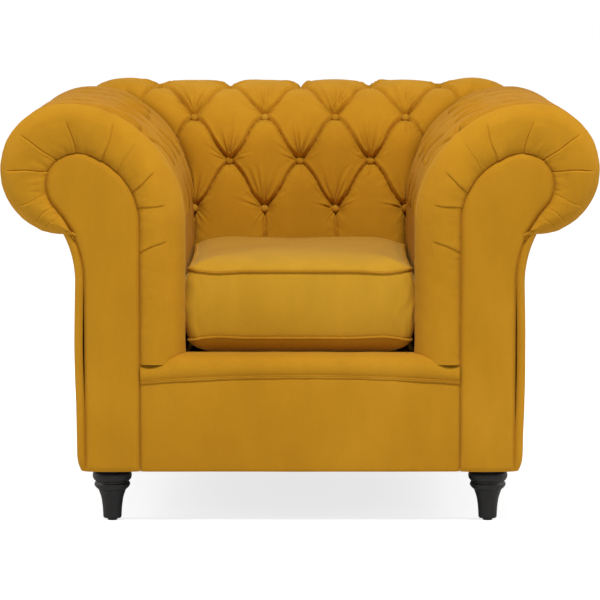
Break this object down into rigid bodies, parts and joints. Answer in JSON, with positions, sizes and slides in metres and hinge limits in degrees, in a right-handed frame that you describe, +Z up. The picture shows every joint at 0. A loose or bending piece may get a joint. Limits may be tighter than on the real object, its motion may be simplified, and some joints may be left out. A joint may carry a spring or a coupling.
{
  "type": "upholstered armchair",
  "caption": "Deep-buttoned scroll-arm armchair with a loose seat cushion, low rolled back and short turned legs, covered in mustard velvet.",
  "frame": {"origin": "on the floor, under the middle of the chair's bounding box", "axes": "+X to the right as seen from the front, +Y to the rear, +Z up"},
  "size_m": [1.1, 0.9005, 0.7852],
  "materials": {
    "velvet_cover": "short pile velvet",
    "velvet_button": "short pile velvet",
    "black_turned_wood": "satin lacquer",
    "frame_timber": "sawn and planed",
    "steel": "plain",
    "black_cloth": "non-woven cloth",
    "seat_foam": "open-cell foam",
    "zip_tape": "woven tape",
    "zip_metal": "plain",
    "glide_plastic": "moulded"
  },
  "bodies": {
    "chair": {"arm_buttons_left": "velvet_button", "arm_buttons_right": "velvet_button", "arm_front_border_left": "velvet_cover", "arm_front_border_right": "velvet_cover", "arm_roll_former_left": "frame_timber", "arm_roll_former_right": "frame_timber", "back_board": "frame_timber", "back_buttons": "velvet_button", "back_pad": "velvet_cover", "back_post_left": "frame_timber", "back_post_right": "frame_timber", "back_roll_former": "frame_timber", "corner_blocks": "frame_timber", "deck_front_edge": "velvet_cover", "dust_cover": "black_cloth", "facing_panel_left": "velvet_cover", "facing_panel_right": "velvet_cover", "foot_glides": "glide_plastic", "front_arm_post_left": "frame_timber", "front_arm_post_right": "frame_timber", "front_legs": "black_turned_wood", "front_panel": "velvet_cover", "front_seat_rail": "frame_timber", "front_welt": "velvet_cover", "inside_arm_board_left": "frame_timber", "inside_arm_board_right": "frame_timber", "inside_arm_pad_left": "velvet_cover", "inside_arm_pad_right": "velvet_cover", "leg_bolts": "steel", "leg_nuts": "steel", "outside_arm_panel_left": "velvet_cover", "outside_arm_panel_right": "velvet_cover", "outside_back_panel": "velvet_cover", "rear_legs": "black_turned_wood", "rear_seat_rail": "frame_timber", "seat_deck": "velvet_cover", "seat_springs": "steel", "side_seat_rail_left": "frame_timber", "side_seat_rail_right": "frame_timber", "spring_clips": "steel"},
    "seat_cushion": {"cushion_core": "seat_foam", "cushion_cover": "velvet_cover", "cushion_welt_top": "velvet_cover", "cushion_welt_bottom": "velvet_cover", "cushion_zip": "zip_tape"},
    "zip_slider": {"zip_slider": "zip_metal"}
  },
  "joints": [
    {"name": "cushion_lift", "type": "slide", "parent": "chair", "child": "seat_cushion", "axis": [0, 0, 1], "range_m": [0, 0.5]},
    {"name": "zip_slide", "type": "slide", "parent": "seat_cushion", "child": "zip_slider", "axis": [1, 0, 0], "range_m": [0, 0.366]}
  ]
}
